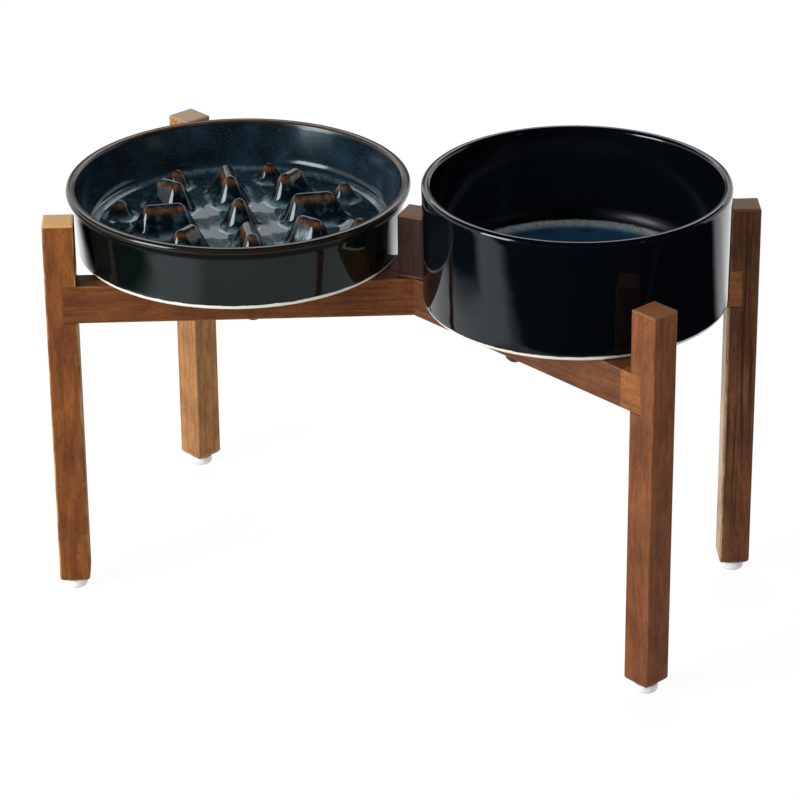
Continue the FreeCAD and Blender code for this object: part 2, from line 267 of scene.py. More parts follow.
half_floor = FLOOR_SIZE / 2
floor_corner = (-half_floor, -half_floor, -FLOOR_SINK)
sheet("floor", floor_corner, (FLOOR_SIZE, 0, 0), (0, FLOOR_SIZE, 0), floor_finish())
surround()
bpy.context.scene.view_settings.view_transform = "Standard"
print("floor", FLOOR_SIZE, "m square")

# %% [markdown]
# A black glaze is a mirror, so photographers put cards round it. Here the cards show in reflections only.
# Dark ones in front, at the sides and overhead keep the bowls black, and a grey one puts a sheen on the slow
# feeder's wall. Bright ones behind the stand, with a dim one among them, light the lips and the crowns. All
# borders fade, so that no hard edge shows in the glaze. A soft box at the left stands for a window, and a
# wide one behind for a bright backdrop.

# %% Cards for the reflections, and soft boxes
CARD_FADE = 0.10
# Each card: name, brightness, a corner, and its two sides, in metres (right, towards the camera, up)
CARDS = (
    ("card_front", 0.0, (-1.6, 0.38, 0.001), (4.0, 0, 0), (0, 2.0, 0)),
    ("card_right", 0.0, (0.38, -0.26, 0.002), (2.0, 0, 0), (0, 0.78, 0)),
    ("card_between", 0.0, (0.16, -0.36, 0.003), (0.32, 0, 0), (0, 0.36, 0)),
    ("card_left", 0.0, (-1.6, -0.60, 0.002), (1.18, 0, 0), (0, 0.86, 0)),
    ("card_grey", 0.5, (-0.32, -0.08, 0.004), (0.80, 0, 0), (0, 0.56, 0)),
    ("card_far", 1.6, (-0.52, -2.6, 0.001), (2.9, 0, 0), (0, 2.32, 0)),
    ("card_back", 1.35, (-3.0, -2.6, 0), (6.0, 0, 0), (0, 0, 1.95)),
    ("card_dim", 0.2, (-1.05, -2.5, 0), (2.1, 0, 0), (0, 0, 1.32)),
    ("card_wall", 0.0, (-2.4, 2.4, 0), (4.8, 0, 0), (0, 0, 2.2)),
    ("card_side", 0.0, (2.4, -0.3, 0), (0, 2.7, 0), (0, 0, 2.2)),
    ("card_above", 0.0, (-3.2, -3.4, 2.1), (6.4, 0, 0), (0, 5.9, 0)),
)


def card_finish(name, level, width, depth):
    """Paper of one brightness that fades out towards its border."""
    material, start = finish_of(name)
    across, along, _ = start.node("ShaderNodeTexCoord", output="UV").split()
    from_side, from_end = ((0.5 - abs(part - 0.5)) * size for part, size in ((across, width), (along, depth)))
    cover = from_side.math("MINIMUM", from_end).smooth(0.0, CARD_FADE)
    clear = start.node("ShaderNodeBsdfTransparent")
    paper = start.node("ShaderNodeEmission", None, {"Strength": level})
    show(start, start.node("ShaderNodeMixShader", None, {0: cover, 1: clear, 2: paper}))
    return material


def card(name, level, *corner_and_sides):
    """Card that only reflections show, from a corner and two sides along the camera's own directions."""
    axes = Matrix((direction(VIEW_AZIMUTH + 90, 0), direction(VIEW_AZIMUTH, 0), (0, 0, 1))).transposed()
    start, first, second = (axes @ Vector(vector) for vector in corner_and_sides)
    flat = sheet(name, start, first, second, card_finish(name, level, first.length, second.length))
    flat.visible_camera = flat.visible_diffuse = flat.visible_shadow = False


def soft_box(name, azimuth, elevation, distance, width, height, watts):
    """Rectangular lamp that faces the object from a direction round it."""
    lamp = bpy.data.lights.new(name, "AREA")
    lamp.shape = "RECTANGLE"
    lamp.size, lamp.size_y, lamp.energy = width, height, watts
    box = link(bpy.data.objects.new(name, lamp))
    towards = direction(azimuth, elevation)
    centre = (cad_box[0] + cad_box[1]) / 2
    box.matrix_world = Matrix.LocRotScale(centre + towards * distance, towards.to_track_quat("Z", "Y"), None)


for row in CARDS:
    card(*row)
soft_box("window", azimuth=-36.0, elevation=18.0, distance=1.8, width=0.75, height=1.0, watts=27.0)
soft_box("backdrop", VIEW_AZIMUTH + 180, elevation=42.0, distance=2.2, width=2.0, height=0.7, watts=12.0)
print("stage set with", len(CARDS), "cards and 2 soft boxes")

# %% [markdown]
# The stand is sawn from one kind of reddish-brown hardwood and rubbed with oil. Real sticks are cut out of a
# log, so the pattern is worked out in the solid: rings round a pith that lies outside the stick, fine fibres
# and dark streaks drawn out along the grain, and short dark pores. Edges are rubbed pale, and the end grain
# is speckled.

# %% Oiled hardwood with rings, fibres, pores and rubbed edges
RING_WIDTH = 2.6
FAR = 1e6
ORANGE_WOOD = (rgb(0.16, 0.050, 0.011), rgb(0.38, 0.135, 0.034))
# Cream sapwood, also the colour of a painted sheen of light on one side of a leg
CREAM_SAPWOOD_AND_SHEEN = (rgb(0.30, 0.19, 0.10), rgb(0.66, 0.50, 0.33))
PALE_COVER = 0.85


def shade_of(colour, level, coolness=1.0):
    """Colour multiplied by a level of light, and its green and blue also by the coolness."""
    red, green, blue = colour
    return rgb(red * level, green * level * coolness, blue * level * coolness)


def oiled_wood(name, centre, turn, half, pith, colour, end_colour, dark=0.3, pale_end=FAR, sapwood_and_sheen_side=FAR):
    """Finish of one stick whose grain runs along its own z. half is its half size, pith the place of the
    log's middle in its section, and dark the strength of its dark streaks. Past pale_end along z the wood is
    orange, and past the distance given for its cream side against x it is cream: sapwood, and also a painted
    sheen of light on that face."""
    material, start = finish_of(name)
    place = in_millimetres(start, centre, turn)
    x, y, z = place.split()

    # Rings round a pith that leans a little against the stick
    drift = place.stretch(0.055, 0.055, 0.009).noise(1.0, 2.0) - 0.5
    off_x = x - pith[0] + z * 0.035
    off_y = y - pith[1] - z * 0.025
    radius = (off_x * off_x + off_y * off_y).math("SQRT") + drift * 22.0
    rings = start.node("ShaderNodeTexNoise", {"noise_dimensions": "1D"},
                       {"W": radius / RING_WIDTH, "Scale": 1.0, "Detail": 2.0})

    # Fibres and pores along the grain, and broad clouds of lighter and darker wood
    fibre = place.stretch(1.5, 1.5, 0.07).noise(1.0, 4.0, 0.6)
    pores = place.stretch(1.3, 1.3, 0.42).noise(1.0, 3.0, 0.65).smooth(0.54, 0.70)
    cloud = place.stretch(0.045, 0.045, 0.030).noise(1.0, 3.0)
    mottle = place.stretch(0.20, 0.20, 0.07).noise(1.0, 3.0, 0.6)
    depth = (rings * 0.6 + fibre * 0.35 + cloud * 0.9 + mottle * 0.7 - 1.275).smooth(-0.40, 0.40)
    wood = depth.blend(shade_of(colour, 0.62, 0.94), shade_of(colour, 1.36, 1.06))

    # Dark streaks, orange ends, and cream sapwood that is also a painted sheen of light, with the pores over
    # all of them
    streaks = (place.stretch(0.40, 0.40, 0.010).noise(1.0, 3.0, 0.6) + drift * 0.3).smooth(0.50, 0.64)
    wood = (streaks * dark).blend(wood, shade_of(colour, 0.30, 0.9))
    orange = (z + fibre * 4.0 - 2.0).smooth(pale_end - 1.2, pale_end)
    wood = (orange * PALE_COVER).blend(wood, depth.blend(*ORANGE_WOOD))
    # Painted highlight: the cream side is sapwood and also a painted sheen of light on that face
    cream_and_sheen = (fibre * 3.0 + cloud * 1.5 - x).smooth(sapwood_and_sheen_side, sapwood_and_sheen_side + 2.2)
    wood = (cream_and_sheen * PALE_COVER).blend(wood, depth.blend(*CREAM_SAPWOOD_AND_SHEEN))
    wood = (pores * 0.62).blend(wood, shade_of(colour, 0.25, 0.8))

    # Rubbed edges and end grain follow the distance to the stick's faces
    inset = [abs(part) - size for part, size in zip((x, y, z), half)]
    pairs = [inset[first].math("MINIMUM", inset[second]) for first, second in ((0, 1), (1, 2), (2, 0))]
    edge = pairs[0].math("MAXIMUM", pairs[1]).math("MAXIMUM", pairs[2])
    patchy = place.stretch(0.25, 0.25, 0.06).noise(1.0, 3.0).smooth(0.36, 0.70)
    rubbed = edge.smooth(-1.3, -0.4) * patchy
    wood = (rubbed * 0.7).blend(wood, shade_of(end_colour, 1.1))
    ends = inset[2].smooth(-1.6, -0.8)
    speckle = place.stretch(1.6, 1.6, 0.4).noise(1.0, 3.0).smooth(0.30, 0.62)
    wood = (ends * (0.55 + speckle * 0.4)).blend(wood, rgb(*end_colour))

    roughness = 0.46 + fibre * 0.16 + rubbed * 0.1
    grain = (fibre * 0.5 - pores).bump(0.35, 0.12 * MM)
    show(start, start.node("ShaderNodeBsdfPrincipled", None, {
        "Base Color": wood, "Roughness": roughness, "Normal": grain, "Specular IOR Level": 0.22}))
    return material


def middle(node):
    """Centre of a node's box."""
    low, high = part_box(node)
    return (low + high) / 2


def dress(node, material):
    """Gives a node of the frame one finish all over."""
    mesh = nodes[node].data
    mesh.materials.clear()
    mesh.materials.append(material)


def run_angle(first, second):
    """Angle in plan of the line from one leg to the leg across the stand."""
    across = middle(second) - middle(first)
    return math.atan2(across.y, across.x)


def half_size(node):
    """Half the size of a node's box, in millimetres."""
    low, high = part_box(node)
    return (high - low) / 2 / MM


print("finish of a stick is ready")

# %% [markdown]
# No two sticks look alike, so each has a row of its own: where its pith lies, the colours of its wood and of
# its end grain, how strong its dark streaks are, and where paler wood begins. The rails turn orange near one
# end, and one leg has cream sapwood on a side, which also stands in as a painted sheen of light there. The
# centre post's colour is darkened as painted shade, for the shadow between the bowls. A rail's pattern is
# turned so that its own z runs along it.

# %% Wood of each stick
stock_half = half_size("centre_post").x
leg_half = (stock_half, stock_half, half_size("front_left_leg").z)
rail_half = (half_size("lower_cross_rail").z, stock_half, FAR)
rail_ends = {
    "lower_cross_rail": ("front_left_leg", "rear_right_leg"),
    "upper_cross_rail": ("rear_left_leg", "front_right_leg"),
}
woods = {
    "front_left_leg": {"pith": (14.0, 30.0), "colour": (0.205, 0.061, 0.012),
                       "end_colour": (0.66, 0.38, 0.135), "dark": 0.14},
    # Painted highlight: this leg's cream side is sapwood and also a painted sheen of light
    "rear_right_leg": {"pith": (-52.0, 30.0), "colour": (0.135, 0.046, 0.015),
                       "end_colour": (0.19, 0.110, 0.050), "dark": 0.85, "sapwood_and_sheen_side": 9.4},
    "rear_left_leg": {"pith": (46.0, -24.0), "colour": (0.400, 0.180, 0.060),
                      "end_colour": (0.40, 0.28, 0.17), "dark": 0.25},
    "front_right_leg": {"pith": (-30.0, -44.0), "colour": (0.205, 0.064, 0.020),
                        "end_colour": (0.28, 0.115, 0.043), "dark": 0.22},
    "lower_cross_rail": {"pith": (40.0, 26.0), "colour": (0.152, 0.045, 0.009),
                         "end_colour": (0.30, 0.14, 0.06), "dark": 0.4, "pale_end": 192.0},
    "upper_cross_rail": {"pith": (-34.0, -48.0), "colour": (0.140, 0.047, 0.015),
                         "end_colour": (0.30, 0.14, 0.06), "dark": 0.4, "pale_end": 192.0},
    # Painted shade: the centre post's colour is darkened for the shadow it stands in between the bowls
    "centre_post": {"pith": (-26.0, 40.0), "colour": (0.048, 0.018, 0.011),
                    "end_colour": (0.20, 0.085, 0.050)},
}


def dress_stick(node, turn, half):
    """Gives a stick its own wood, with the grain along its length."""
    dress(node, oiled_wood(node + "_wood", middle(node), turn, half, **woods[node]))


for rail, ends in rail_ends.items():
    angle = run_angle(*ends)
    dress_stick(rail, (0.0, math.pi / 2, angle), rail_half)
    for leg in ends:
        dress_stick(leg, (0.0, 0.0, angle), leg_half)
dress_stick("centre_post", (0.0, 0.0, 0.0), half_size("centre_post"))
print("wood on", len(woods), "sticks")

# %% [markdown]
# A potter turns a bowl on a wheel, so its shape is one outline carried round an axis. The outline is written
# as a few corners with a rounding each: every corner becomes the arc that touches both of its sides.

# %% Rounded outlines and turned surfaces
ARC_STEPS = 5
LEAST_ARC_STEPS = 3


def rounded_outline(corners):
    """Points (radius, height) of an outline of corners (radius, height, rounding, spacing).

    A corner with rounding q and half angle a is cut back by q / tan a on both sides and bridged by the
    tangent arc, walked by turning the start radius into the end radius. Straights are divided at the spacing
    given with the corner that they leave, and arcs at a fifth of their radius or less."""
    points = np.array([corner[:2] for corner in corners], float)
    stations = []
    for index, (_, _, rounding, _) in enumerate(corners):
        corner = points[index]
        if rounding == 0:
            stations.append(corner[None])
            continue
        before, after = points[index - 1] - corner, points[index + 1] - corner
        before, after = before / np.linalg.norm(before), after / np.linalg.norm(after)
        half = np.arccos(before @ after) / 2
        inward = (before + after) / np.linalg.norm(before + after)
        centre = corner + inward * rounding / np.sin(half)
        first = corner + before * rounding / np.tan(half) - centre
        last = corner + after * rounding / np.tan(half) - centre
        sweep = np.pi - 2 * half
        steps = max(LEAST_ARC_STEPS, int(np.ceil(sweep * ARC_STEPS)))
        share = np.linspace(0, 1, steps + 1)[:, None]
        arc = np.sin((1 - share) * sweep) * first + np.sin(share * sweep) * last
        stations.append(centre + arc / np.sin(sweep))
    outline = [stations[0]]
    for index, station in enumerate(stations[1:]):
        start, end = outline[-1][-1], station[0]
        steps = max(1, int(round(np.linalg.norm(end - start) / corners[index][3])))
        share = np.linspace(0, 1, steps + 1)[1:-1, None]
        outline += [start + (end - start) * share, station]
    return np.concatenate(outline)


def turned_grid(outline, count):
    """Vertices (rings, count, 3) of an outline carried round Z: x = r cos a, y = r sin a, z = height."""
    turn = np.arange(count) * 2 * np.pi / count
    radius, height = outline[:, :1], outline[:, 1:]
    return np.stack([radius * np.cos(turn), radius * np.sin(turn), np.repeat(height, count, 1)], -1)


def shell_mesh(name, grid):
    """Closed mesh from a grid of rings that starts and ends on the axis: each end ring becomes one pole."""
    rings, count, _ = grid.shape
    vertices = np.concatenate([grid[0, :1], grid[1:-1].reshape(-1, 3), grid[-1, :1]])
    here = np.arange(count)
    ahead = np.roll(here, -1)
    base = 1 + np.arange(rings - 3)[:, None] * count
    beyond = base + count
    quads = np.stack([base + here, base + ahead, beyond + ahead, beyond + here], -1).reshape(-1, 4)
    last = 1 + (rings - 3) * count
    top = len(vertices) - 1
    first_fan = np.stack([np.zeros_like(here), 1 + ahead, 1 + here], -1)
    last_fan = np.stack([last + here, last + ahead, np.full_like(here, top)], -1)
    mesh = bpy.data.meshes.new(name)
    mesh.from_pydata(vertices.tolist(), [], quads.tolist() + first_fan.tolist() + last_fan.tolist())
    mesh.polygons.foreach_set("use_smooth", np.ones(len(mesh.polygons), bool))
    return mesh


def pole_values(values):
    """Values of a grid of rings in the order of its mesh's vertices."""
    return np.concatenate([values[0, :1], values[1:-1].ravel(), values[-1, :1]])


def keep_values(mesh, name, values):
    """Stores one number for each vertex, for the finish to read."""
    layer = mesh.attributes.new(name, "FLOAT", "POINT")
    layer.data.foreach_set("value", values.astype(np.float32))


def seat(node):
    """Middle of a bowl's foot."""
    low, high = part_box(node)
    return Vector(((low.x + high.x) / 2, (low.y + high.y) / 2, low.z))


def bowl_size(node):
    """Rim radius and height of a bowl, in millimetres."""
    half = half_size(node)
    return half.x, half.z * 2


def place_bowl(name, mesh, node, body):
    """Puts a bowl's mesh where its node is, in the node's stead, on the node's body."""
    mesh.transform(Matrix.Translation(seat(node)) @ Matrix.Scale(MM, 4))
    bowl = link(bpy.data.objects.new(name, mesh))
    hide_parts(node)
    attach(bowl, body)
    print(name, len(mesh.vertices), "vertices", len(mesh.polygons), "faces")


print("bowls", [bowl_size(node) for node in ("slow_feeder_bowl", "water_bowl")])

# %% [markdown]
# The slow feeder is a low dish: a recess inside a foot ring, a wall that leans out, a rolled lip that stands
# out over it, and a cove between the inside wall and the floor. The floor has close rings, because the mounds
# are added to it.

# %% Outline of the slow feeder
WIDE, EVEN = 12.0, 2.0
FOOT_RECESS = 3.0
RECESS_ROUND = 0.8
SLOW_COUNT = 448
SLOW_RING_IN = 14.0
SLOW_FOOT_IN = 6.0
SLOW_FOOT_ROUND = 3.0
SLOW_WALL_STEP = 3.0
SLOW_NECK_IN = 3.0
SLOW_NECK_ROUND = 3.0
SLOW_LIP_DEEP = 3.4
SLOW_LIP_WIDE = 5.4
SLOW_LIP_ROUND = 2.3
SLOW_FLOOR_IN = 11.8
SLOW_FLOOR_STEP = 0.76
SLOW_COVE = 9.0
slow_rim, slow_high = bowl_size("slow_feeder_bowl")
slow_ring = slow_rim - SLOW_RING_IN
slow_floor = 12.0
slow_floor_radius = slow_rim - SLOW_FLOOR_IN
slow_corners = [
    (0.0, FOOT_RECESS, 0.0, WIDE),
    (slow_ring, FOOT_RECESS, RECESS_ROUND, EVEN),
    (slow_ring, 0.0, RECESS_ROUND, EVEN),
    (slow_rim - SLOW_FOOT_IN, 0.0, SLOW_FOOT_ROUND, SLOW_WALL_STEP),
    (slow_rim - SLOW_NECK_IN, slow_high - SLOW_LIP_DEEP * 2, SLOW_NECK_ROUND, EVEN),
    (slow_rim, slow_high - SLOW_LIP_DEEP, SLOW_LIP_ROUND, EVEN),
    (slow_rim, slow_high, SLOW_LIP_ROUND, EVEN),
    (slow_rim - SLOW_LIP_WIDE, slow_high, SLOW_LIP_ROUND, EVEN),
    (slow_floor_radius, slow_floor, SLOW_COVE, SLOW_FLOOR_STEP),
    (0.0, slow_floor, 0.0, EVEN)]
slow_outline = rounded_outline(slow_corners)
print("slow feeder outline", len(slow_outline), "points")

# %% [markdown]
# The slow feeder's floor is a field of mounds that keeps a dog from gulping: a cone in the middle, long and
# short ridges round it, and low cones along the wall. The floor is a height over the plane, so each mound is
# a function of the distance to its spine: a flat crown, a drafted side and a flared foot, blended smoothly.

# %% Mounds on the slow feeder's floor
MOUND_HEIGHT = 18.4
MOUND_CROWN = 3.4
CONE_HEIGHT = 11.4
CONE_CROWN = 3.2
DRAFT_ANGLE = 25.5
DRAFT_SLOPE = 1 / math.tan(math.radians(DRAFT_ANGLE))
CROWN_BLEND = 4.8
CROWN_LIFT = 0.7
FOOT_BLEND_SHARE = 0.20
EDGE_BELOW = 0.5
EDGE_WIDTH = 1.15
FOOT_BEYOND = 1.0
FOOT_WIDTH = 1.6
# Each row: copies, share of the floor's radius, length and first turn of a spine, crown's half width, height
MOUND_ROWS = (
    (1, 0.0, 0.0, 0.0, MOUND_CROWN, MOUND_HEIGHT),
    (4, 0.492, 18.0, 33.0, MOUND_CROWN, MOUND_HEIGHT),
    (4, 0.567, 10.0, 78.0, MOUND_CROWN, MOUND_HEIGHT),
    (8, 0.808, 0.0, 10.5, CONE_CROWN, CONE_HEIGHT),
)
mounds = [(share, run, first_turn + 360.0 * k / copies, crown, top)
          for copies, share, run, first_turn, crown, top in MOUND_ROWS for k in range(copies)]


def soft_least(first, second, blend):
    """The lesser of two heights, with the crease between them rounded by a hyperbola of the given size."""
    return (first + second - np.hypot(first - second, blend)) / 2


def mound_field(x, y):
    """Height of the mounds over the floor, closeness to a crown's edge, and closeness to a foot.

    With d the distance to a mound's spine and H its height, its side is H - (d - crown) * slope. The mound is
    the soft lesser of that side and a level a little over H, and where it meets the floor the soft greater of
    it and 0. The crown's edge is a bell of d just past the crown, and the foot is a bell of d just past the
    place where the side reaches 0."""
    height, crest, foot = np.zeros_like(x), np.zeros_like(x), np.zeros_like(x)
    for share, run, turn, crown, top in mounds:
        angle = math.radians(turn)
        along = x * math.cos(angle) + y * math.sin(angle) - share * slow_floor_radius
        across = y * math.cos(angle) - x * math.sin(angle)
        distance = np.hypot(np.maximum(np.abs(along) - run / 2, 0), across)
        side = top - (distance - crown) * DRAFT_SLOPE
        loaf = soft_least(side, top + CROWN_LIFT, CROWN_BLEND)
        rise = -soft_least(-loaf, 0.0, top * FOOT_BLEND_SHARE)
        height = np.maximum(height, rise)
        crest = np.maximum(crest, np.exp(-((distance - crown - EDGE_BELOW) / EDGE_WIDTH) ** 2))
        reach = crown + top / DRAFT_SLOPE + FOOT_BEYOND
        foot = np.maximum(foot, np.exp(-((distance - reach) / FOOT_WIDTH) ** 2))
    return height, crest, foot


print(len(mounds), "mounds")

# %% [markdown]
# The outline is carried round into a grid of rings. Inside the lip, the mounds and a low bead of glaze round
# the floor's edge are added to the height of each vertex. The mesh also keeps where the crowns' edges, the
# feet, the bead and the high places are, for the glaze to read.

# %% Slow feeder: turned shell with the mounds added to its floor
BEAD_HEIGHT = 1.0
BEAD_IN = 4.0
BEAD_WIDTH = 1.7
slow_grid = turned_grid(slow_outline, SLOW_COUNT)
inside = np.zeros(slow_grid.shape[:2], bool)
inside[np.argmax(slow_outline[:, 1]):] = True
rise, crest, foot = mound_field(slow_grid[..., 0], slow_grid[..., 1])
from_axis = np.hypot(slow_grid[..., 0], slow_grid[..., 1])
bead = np.exp(-((from_axis - slow_floor_radius + BEAD_IN) / BEAD_WIDTH) ** 2)
slow_grid[..., 2] += np.where(inside, rise + bead * BEAD_HEIGHT, 0.0)
slow_mesh = shell_mesh("slow_feeder_glazed", slow_grid)
for key, values in (("crest", crest), ("foot", foot), ("bead", bead), ("rise", rise / MOUND_HEIGHT)):
    keep_values(slow_mesh, key, pole_values(np.where(inside, values, 0.0)))
place_bowl("slow_feeder_glazed", slow_mesh, "slow_feeder_bowl", "slow_feeder")

# %% [markdown]
# The slow feeder wears a reactive glaze. It is almost black where it lies thick on the walls, breaks to rust
# where it runs thin over the lip and the crowns' edges, and pools in pale blue-green curds round the feet of
# the mounds, where the pale colour is also a painted glint of light. Below the lip, where little light gets
# in, a dull dark line of painted shade sets the lip off. Each zone's border is written as two places in
# millimetres, between which it fades in, and noise makes some of them wander.

# %% Bare clay, and what the mesh keeps
CLAY = (0.86, 0.83, 0.74)


def bare_clay(place):
    """Pale stoneware with fine grains."""
    return place.noise(0.5, 4.0, 0.7).blend(shade_of(CLAY, 0.80), shade_of(CLAY, 1.06))


def bare_foot(place, radius, height, ring, line):
    """1 on the unglazed clay under a bowl: below a line that wavers a little, and all over inside the foot
    ring."""
    below = (height + place.noise(0.12, 2.0) * 1.2 - 0.6).smooth(line + 0.25, line - 0.25)
    return below.math("MAXIMUM", radius.smooth(ring + 1.0, ring + 0.5) * height.smooth(5.0, 4.0))


def stored(start, name):
    """Number that the mesh keeps under this name."""
    return start.node("ShaderNodeAttribute", {"attribute_name": name}, output="Fac")


print("slow feeder keeps", [layer.name for layer in slow_mesh.attributes if layer.data_type == "FLOAT"])

# %% Zones and colours of the reactive glaze
SLOW_CLAY_LINE = 2.9
SLOW_WALL_LEAN = 0.2
SLOW_INSIDE = (slow_rim - 12.0, slow_rim - 13.0)
SLOW_LEVEL = (slow_floor + 2.0, slow_floor + 0.5)
SLOW_MIDDLE = (74.0, 36.0)
SLOW_LIP_TOP = (slow_high - 3.0, slow_high - 1.6)
# Where the painted shade below the lip fades in: its foot, its head and its outside limit
SHADE_FOOT = (slow_high - 9.0, slow_high - 7.0)
SHADE_HEAD = (slow_high - 2.8, slow_high - 3.8)
SHADE_OUTSIDE = (slow_rim - 4.4, slow_rim - 3.6)
INNER_LINE_IN = 4.7
OUTER_LINE_IN = 0.3
WALL_BLACK = rgb(0.0025, 0.0045, 0.0045)
DEEP_NAVY = (rgb(0.003, 0.008, 0.012), rgb(0.010, 0.028, 0.048))
SPECK_BLUE = rgb(0.070, 0.120, 0.150)
MOUND_BLACK = rgb(0.002, 0.005, 0.008)
MOUND_TEAL = rgb(0.040, 0.085, 0.105)
# Pale curds, and also the colour of the painted glints at the mounds' feet
POOL_PALE_AND_GLINT = rgb(0.20, 0.33, 0.36)
RUST = (rgb(0.110, 0.042, 0.012), rgb(0.300, 0.125, 0.032))
LIP_BROWN = rgb(0.012, 0.0095, 0.0065)
LIP_RUST = rgb(0.190, 0.072, 0.024)
LIP_SHADE = rgb(0.004, 0.005, 0.005)
print("slow feeder's glaze inside begins at", SLOW_INSIDE)


# %% Reactive glaze of the slow feeder
def reactive_glaze():
    """Gloss glaze: navy to black, rust on thin edges, pale curds in the pools with painted glints at the
    mounds' feet, painted shade under the lip, bare clay at the foot.
    """
    material, start = finish_of("reactive_glaze")
    place = in_millimetres(start, seat("slow_feeder_bowl"))
    x, y, height = place.split()
    radius = (x * x + y * y).math("SQRT")
    crest, foot, bead, rise = (stored(start, key) for key in ("crest", "foot", "bead", "rise"))
    within = (radius - height * SLOW_WALL_LEAN).smooth(*SLOW_INSIDE)
    cloud = place.noise(0.045, 3.0)
    curd = place.stretch(1.0, 1.0, 0.5).noise(0.30, 4.0, 0.65)
    speckle = place.noise(1.1, 2.0, 0.7).smooth(0.50, 0.74)
    streak = place.stretch(0.60, 0.60, 0.05).noise(1.0, 3.0)

    # Walls and floor, and darker mounds with patches of teal
    deep = cloud.smooth(0.30, 0.72).blend(*DEEP_NAVY)
    deep = (speckle * 0.30).blend(deep, SPECK_BLUE)
    body = within.blend(WALL_BLACK, deep)
    teal = rise.smooth(0.10, 0.40) * place.noise(0.16, 2.0).smooth(0.48, 0.66)
    body = (rise.smooth(0.05, 0.30) * 0.85).blend(body, MOUND_BLACK)
    body = (teal * 0.55).blend(body, MOUND_TEAL)

    # Pale pools on the level floor, at the mounds' feet and along the bead; at the feet the pale colour is
    # also a painted glint of light
    level = height.smooth(*SLOW_LEVEL) * within
    centre = level * radius.smooth(*SLOW_MIDDLE)
    milk = level * curd.smooth(0.40, 0.70) * 0.16 + centre * (0.12 + speckle * 0.55)
    # Painted highlight: the pale curds round the mounds' feet also stand in for glints of light there
    halo_and_glint = foot * place.noise(0.10, 2.0).smooth(0.36, 0.58) * (0.9 + curd)
    halo_and_glint = halo_and_glint + bead * curd.smooth(0.25, 0.6) * 0.6
    pool_and_glint = (halo_and_glint + milk).math("MINIMUM", 1.0)
    body = (pool_and_glint * 0.6).blend(body, POOL_PALE_AND_GLINT)

    # Rust on the crowns' edges and in two lines along the lip
    rust = curd.smooth(0.36, 0.68).blend(*RUST)
    thin = crest * (0.15 + streak)
    body = (thin.math("MINIMUM", 1.0) * 0.85).blend(body, rust)
    high = height.smooth(*SLOW_LIP_TOP)
    wander = radius - slow_rim + (cloud - 0.5) * 1.2
    inner_line = abs(wander + INNER_LINE_IN).smooth(1.1, 0.2) * high * 0.7
    line = inner_line + abs(wander + OUTER_LINE_IN).smooth(0.7, 0.1) * 0.08
    body = (high * 0.7).blend(body, LIP_BROWN)
    body = (line * (0.10 + streak)).math("MINIMUM", 0.9).blend(body, LIP_RUST)

    # Bare clay at the foot, satin inside the walls and on the lip, gloss elsewhere
    clay = bare_foot(place, radius, height, slow_ring, SLOW_CLAY_LINE)
    body = clay.blend(body, bare_clay(place))
    satin = (within - level) * (1.0 - rise.smooth(0.0, 0.2)) + high * 0.8
    roughness = clay * 0.6 + 0.05 + pool_and_glint * 0.10 + satin * 0.10
    ripple = (place.noise(0.045, 1.0) + curd * within * 0.08).bump(0.25, 0.5 * MM)
    glaze = start.node("ShaderNodeBsdfPrincipled", None, {
        "Base Color": body, "Roughness": roughness, "Normal": ripple, "IOR": 1.50,
        "Specular Tint": rgb(0.84, 0.97, 1.0)})

    # Painted shade: a dull dark line below the lip, on the outside only
    dull = start.node("ShaderNodeBsdfDiffuse", None, {"Color": LIP_SHADE})
    painted_shade_under_lip = height.smooth(*SHADE_FOOT) * height.smooth(*SHADE_HEAD)
    painted_shade_under_lip = painted_shade_under_lip * radius.smooth(*SHADE_OUTSIDE) * 0.85
    show(start, start.node("ShaderNodeMixShader", None, {0: painted_shade_under_lip, 1: glaze, 2: dull}))
    return material


slow_mesh.materials.append(reactive_glaze())
print("slow feeder glazed")

# %% [markdown]
# The water bowl is a plain deep cylinder with a round lip and a wide cove at its floor. It is turned in the
# same way, and with no mounds it needs fewer rings.

# %% Water bowl: turned shell
WATER_COUNT = 320
WATER_RING_IN = 10.1
WATER_FOOT_IN = 0.6
WATER_FOOT_ROUND = 4.5
WATER_STEP = 4.0
WATER_LIP_WIDE = 5.6
WATER_LIP_ROUND = 2.6
WATER_FLOOR_IN = 8.6
WATER_COVE = 14.0
water_rim, water_high = bowl_size("water_bowl")
water_ring = water_rim - WATER_RING_IN
water_floor = 12.0
water_corners = [
    (0.0, FOOT_RECESS, 0.0, WIDE),
    (water_ring, FOOT_RECESS, RECESS_ROUND, EVEN),
    (water_ring, 0.0, RECESS_ROUND, EVEN),
    (water_rim - WATER_FOOT_IN, 0.0, WATER_FOOT_ROUND, WATER_STEP),
    (water_rim, water_high, WATER_LIP_ROUND, EVEN),
    (water_rim - WATER_LIP_WIDE, water_high, WATER_LIP_ROUND, WATER_STEP),
    (water_rim - WATER_FLOOR_IN, water_floor, WATER_COVE, EVEN),
    (0.0, water_floor, 0.0, EVEN)]
water_mesh = shell_mesh("water_bowl_glazed", turned_grid(rounded_outline(water_corners), WATER_COUNT))
place_bowl("water_bowl_glazed", water_mesh, "water_bowl", "water")

# %% [markdown]
# The water bowl's glaze is a near-black navy without rust. It is bluer on the floor, and round the floor it
# curdles into a pale speckled ring.

# %% Navy glaze of the water bowl
WATER_CLAY_LINE = 3.3
WATER_WALL_LEAN = 0.02
WATER_INSIDE = (water_rim - 5.2, water_rim - 5.8)
WATER_LOW = (26.0, 22.0)
WATER_BLUE_REACH = (80.6, 77.6)
PALE_RING_INNER = (74.5, 79.2)
PALE_RING_OUTER = (80.0, 81.2)
NAVY_BLACK = rgb(0.0016, 0.0028, 0.0044)
FLOOR_BLUE = (rgb(0.006, 0.040, 0.090), rgb(0.014, 0.078, 0.165))
FLOOR_SPECK = rgb(0.10, 0.20, 0.28)
RING_PALE = rgb(0.50, 0.57, 0.58)


